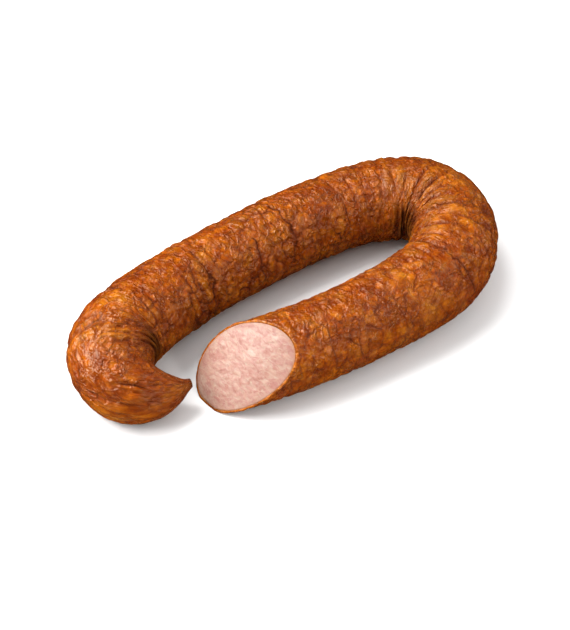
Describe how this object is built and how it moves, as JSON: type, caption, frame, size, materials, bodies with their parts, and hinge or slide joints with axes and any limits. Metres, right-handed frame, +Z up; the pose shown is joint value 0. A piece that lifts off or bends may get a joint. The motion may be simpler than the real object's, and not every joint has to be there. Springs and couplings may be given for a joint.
{
  "type": "cured sausage",
  "caption": "Cured, smoked sausage link in a natural casing, curled into a flat U lying on its side, with a twisted tail end and a slanting knife cut showing the filling.",
  "frame": {"origin": "middle of the curled link's footprint box, on the surface it lies on", "axes": "+X along the two legs, towards the closed end of the U; +Y across, towards the leg that carries the twisted tail; +Z up"},
  "size_m": [0.2154, 0.104, 0.0386],
  "materials": {
    "casing": "gloss",
    "meat": "satin"
  },
  "bodies": {
    "root": {"casing": "casing", "filling": "meat"}
  },
  "joints": []
}
